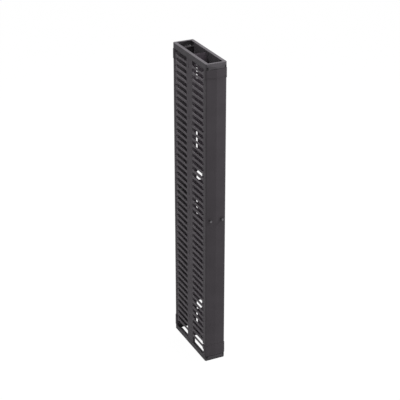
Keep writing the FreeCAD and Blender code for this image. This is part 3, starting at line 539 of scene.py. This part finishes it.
class MANAGER_OT_strips(Operator):
    """Make the two slotted side strips and the divider"""
    bl_idname = "manager.strips"
    bl_label = "Strips and divider"

    def execute(self, context):
        shell = context.scene.manager_shell
        # The divider gets the lighter coat, painted light in the shaded gaps between the fingers
        for node, coat in (("left_strip", "frame_sheet"), ("right_strip", "frame_sheet"), ("divider", "divider_sheet")):
            piece = finished(f"{node}_sheet", cad_mesh(node), finish(coat), shell.sheet_edge)
            seat(piece, "frame", "frame_sheet", node)
        return {"FINISHED"}


class MANAGER_OT_fingers(Operator):
    """Make the four columns of T-headed fingers"""
    bl_idname = "manager.fingers"
    bl_label = "Fingers"

    def execute(self, context):
        sizes = context.scene.manager_fingers
        for door in DOORS:
            for side in SIDES:
                self.column(sizes, door, side)
        return {"FINISHED"}

    def column(self, sizes, door, side):
        nodes = [f"{door}_{side}_fingers_{bank}" for bank in BANKS]
        low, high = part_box(nodes[0])
        lowest = low.z + sizes.head / 2
        toward = -1 if door == "front" else 1
        root, tip = (high.y, low.y) if toward < 0 else (low.y, high.y)
        neck = tip - toward * sizes.head_length
        block = root + toward * sizes.root_length
        flare = block + toward * sizes.flare
        half = [(root, sizes.root / 2, 0), (block, sizes.root / 2, 0), (flare, sizes.arm / 2, 0),
                (neck, sizes.arm / 2, sizes.neck_round), (neck, sizes.head / 2, 0),
                (tip, sizes.head / 2, sizes.head_round)]
        corners = half + [(y, -z, radius) for y, z, radius in reversed(half)]
        bm = prism(rounded(corners), low.x, high.x)
        piece = finished(f"{door}_{side}_finger_column", bm, finish("finger_moulding"), sizes.edge, 1)
        values = {"Count": sizes.count, "Pitch": sizes.pitch, "Material": finish("finger_moulding")}
        repeated(piece, column_tree(), values, AXIS_Z * lowest)
        seat(piece, "frame", "finger_moulding", *nodes)


class MANAGER_OT_screws(Operator):
    """Make the button-head screws of the frame and of the doors"""
    bl_idname = "manager.screws"
    bl_label = "Screws"

    def execute(self, context):
        sizes = context.scene.manager_latches
        self.group(sizes, "strip_screws", "frame", 2)
        for door in DOORS:
            self.group(sizes, f"{door}_end_cap_screws", f"{door}_door", 1)
        return {"FINISHED"}

    def group(self, sizes, node, body, columns):
        low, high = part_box(node)
        radius = sizes.screw_head
        middle = (low + high) / 2
        height = high.z - low.z - 2 * radius
        depth = high.y - low.y - 2 * radius
        parts = []
        for side in (-1, 1):
            end = high.x
            rings = self.screw(sizes, end, side)
            piece = finished(f"{node}_{SIDES[side > 0]}", rings, finish("black_screw"))
            values = {"Rows": 2, "Columns": columns, "Height": height, "Depth": depth,
                      "Material": finish("black_screw")}
            parts.append(repeated(piece, wall_tree(), values, Vector((0, middle.y, middle.z))))
        for piece in parts:
            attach(piece, body)
            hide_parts(node)

    def screw(self, sizes, end, side):
        """A screw round the world origin in Y and Z, its shank ending at end in X."""
        neck = end - sizes.screw_shank
        top = neck - sizes.screw_height
        bottom = top + sizes.socket_depth
        r = sizes.screw_head
        rings = [(0, bottom), (sizes.screw_socket, bottom), (sizes.screw_socket, top)]
        rings += [(share * r, top + drop) for share, drop in SCREW_DOME]
        rings += [(r, neck), (r / 2, neck), (r / 2, end), (0, end)]
        bm = lathe(rings, 12, Vector())
        turn = Matrix.Rotation(-side * math.pi / 2, 4, "Z")
        bmesh.ops.transform(bm, matrix=turn, verts=bm.verts)
        return bm


class MANAGER_OT_doors(Operator):
    """Make both doors: the creased panel and its end caps"""
    bl_idname = "manager.doors"
    bl_label = "Doors"

    def execute(self, context):
        shell = context.scene.manager_shell
        for door in DOORS:
            panel = f"{door}_door_panel"
            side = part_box(panel)[1].x
            self.cover(shell, door, panel, f"{door}_panel", "door_sheet", upright_corner(side, PANEL_CORNER))
            for end in ("upper", "lower"):
                self.cover(shell, door, f"{door}_door_{end}_cap", f"{door}_{end}_end_cap", "door_moulding",
                           upright_corner(side, END_CAP_CORNER))
            for name in ("knob_bezels", "bolt_guides", "left_latch_bracket", "right_latch_bracket"):
                coat_node(f"{door}_{name}")
        return {"FINISHED"}

    def cover(self, shell, door, node, name, slot, corner):
        """A piece of the door's cover, its corners bent and its crease kept crisp."""
        bm = cad_mesh(node)
        round_edges(bm, shell.bend, 3, corner)
        round_edges(bm, shell.crease, 2, shallow_fold, FOLD_ANGLE)
        seat(finished(name, bm, finish(slot), shell.sheet_edge), f"{door}_door", slot, node)


class MANAGER_OT_latches(Operator):
    """Make the fluted knobs with their front discs, whose lighter colour is a painted highlight, and finish the pinions
    and bolts behind them
    """
    bl_idname = "manager.latches"
    bl_label = "Latches"

    def execute(self, context):
        sizes = context.scene.manager_latches
        for door in DOORS:
            for side in SIDES:
                name = f"{door}_{side}"
                self.knob(sizes, door, name)
                for node in ("knob_nut", "pinion", "upper_bolt", "lower_bolt"):
                    coat_node(f"{name}_{node}")
        return {"FINISHED"}

    def knob(self, sizes, door, name):
        low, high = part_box(f"{name}_knob")
        outward = -1 if door == "front" else 1
        tip, tail = (low.y, high.y) if outward < 0 else (high.y, low.y)
        r = sizes.knob_radius
        shaft = sizes.shaft_radius
        back = tip - outward * sizes.knob_length
        rings = [(0, tail), (shaft * 0.85, tail), (shaft, tail + outward * sizes.shaft_edge), (shaft, back)]
        rings += [(share * r, back + outward * along) for share, along in KNOB_WAIST]
        rings += [(share * r, tip - outward * along) for share, along in KNOB_RIM]

        def flute(ring, turn):
            if ring not in FLUTED_RINGS:
                return 0
            return -sizes.flute_depth * (0.5 + 0.5 * math.cos(sizes.flutes * turn))

        centre = Vector(((low.x + high.x) / 2, 0, (low.z + high.z) / 2))
        bm = lathe(rings, sizes.flutes * 4, centre, flute)
        seat(finished(f"{name}_grip", bm, finish("knob_moulding")), f"{name}_latch", "knob_moulding", f"{name}_knob")
        # The front disc carries the lighter colour, a painted highlight
        highlight_rings = [(share * r, tip - outward * along) for share, along in KNOB_HIGHLIGHT_DISC]
        bm = lathe(highlight_rings, sizes.flutes * 2, centre)
        seat(finished(f"{name}_face_disc", bm, finish("knob_face")), f"{name}_latch", "knob_moulding", f"{name}_knob")


class MANAGER_OT_stage(Operator):
    """Set the floor, the soft light and the camera"""
    bl_idname = "manager.stage"
    bl_label = "Stage"

    def execute(self, context):
        stage = context.scene.manager_stage
        self.floor()
        self.room(context.scene, stage.sky)
        self.soft_box("key_light", stage.key, KEY_SIZE, KEY_PLACE, KEY_AIM)
        self.soft_box("side_light", stage.side, SIDE_SIZE, SIDE_PLACE, SIDE_AIM)
        camera = bpy.data.cameras.new("camera")
        camera.lens = stage.lens
        camera.shift_y = CAMERA_SHIFT
        camera.clip_end = CAMERA_REACH
        holder = bpy.data.objects.new("camera", camera)
        holder.location = CAMERA_PLACE
        holder.rotation_euler = (math.pi / 2 - stage.tilt, 0, -stage.turn)
        context.scene.collection.objects.link(holder)
        context.scene.camera = holder
        context.scene.view_settings.view_transform = "Standard"
        return {"FINISHED"}

    def floor(self):
        """A floor that shows nearly white and keeps the object's shadow."""
        mesh = bpy.data.meshes.new("floor")
        corners = [(x * FLOOR_REACH, y * FLOOR_REACH, 0) for x, y in ((-1, -1), (1, -1), (1, 1), (-1, 1))]
        mesh.from_pydata(corners, [], [(0, 1, 2, 3)])
        floor = bpy.data.objects.new("floor", mesh)
        bpy.context.scene.collection.objects.link(floor)
        shader = Shader("floor_white")
        shader.surface.inputs["Base Color"].default_value = (FLOOR_GREY, FLOOR_GREY, FLOOR_GREY, 1)
        shader.surface.inputs["Roughness"].default_value = 0.9
        glow = shader.add("ShaderNodeEmission")
        glow.inputs["Strength"].default_value = FLOOR_GLOW
        share = shader.add("ShaderNodeMath", operation="MULTIPLY")
        share.inputs[1].default_value = FLOOR_SHOWN
        shader.link(shown_ray(shader.tree), share.inputs[0])
        mix = shader.add("ShaderNodeMixShader")
        shader.link(share.outputs[0], mix.inputs[0])
        shader.link(shader.surface.outputs[0], mix.inputs[1])
        shader.link(glow.outputs[0], mix.inputs[2])
        shader.link(mix.outputs[0], shader.tree.nodes["Material Output"].inputs["Surface"])
        mesh.materials.append(shader.material)

    def room(self, scene, strength):
        """A white room that lights the object with the given strength."""
        world = bpy.data.worlds.new("room")
        scene.world = world
        world.use_nodes = True
        nodes, link = world.node_tree.nodes, world.node_tree.links.new
        nodes["Background"].inputs["Color"].default_value = (1, 1, 1, 1)
        level = nodes.new("ShaderNodeMapRange")
        level.inputs["To Min"].default_value = strength
        level.inputs["To Max"].default_value = 1
        link(shown_ray(world.node_tree), level.inputs["Value"])
        link(level.outputs["Result"], nodes["Background"].inputs["Strength"])

    def soft_box(self, name, power, size, place, target):
        light = bpy.data.lights.new(name, "AREA")
        light.energy = power
        light.size = size
        holder = bpy.data.objects.new(name, light)
        holder.location = place
        holder.rotation_euler = (target - place).to_track_quat("-Z", "Y").to_euler()
        bpy.context.scene.collection.objects.link(holder)


OPERATORS = (MANAGER_OT_caps, MANAGER_OT_strips, MANAGER_OT_fingers, MANAGER_OT_screws, MANAGER_OT_doors,
             MANAGER_OT_latches, MANAGER_OT_stage)


class MANAGER_PT_panel(Panel):
    """Lists the pieces and their sizes"""
    bl_label = "Cable manager"
    bl_idname = "MANAGER_PT_panel"
    bl_space_type = "VIEW_3D"
    bl_region_type = "UI"
    bl_category = "Cable manager"

    def draw(self, context):
        for operator in OPERATORS:
            self.layout.operator(operator.bl_idname)
        for name in GROUPS:
            box = self.layout.box()
            settings = getattr(context.scene, name)
            for key in settings.__annotations__:
                box.prop(settings, key)


GROUPS = {"manager_fingers": FingerSettings, "manager_shell": ShellSettings, "manager_latches": LatchSettings,
          "manager_finishes": FinishSettings, "manager_stage": StageSettings}
CLASSES = (*GROUPS.values(), *OPERATORS, MANAGER_PT_panel)


def register():
    for item in CLASSES:
        bpy.utils.register_class(item)
    for name, group in GROUPS.items():
        setattr(bpy.types.Scene, name, PointerProperty(type=group))


def unregister():
    for name in GROUPS:
        delattr(bpy.types.Scene, name)
    for item in reversed(CLASSES):
        bpy.utils.unregister_class(item)


def main():
    register()
    for name in ("caps", "strips", "fingers", "screws", "doors", "latches", "stage"):
        getattr(bpy.ops.manager, name)()


if __name__ == "__main__":
    main()
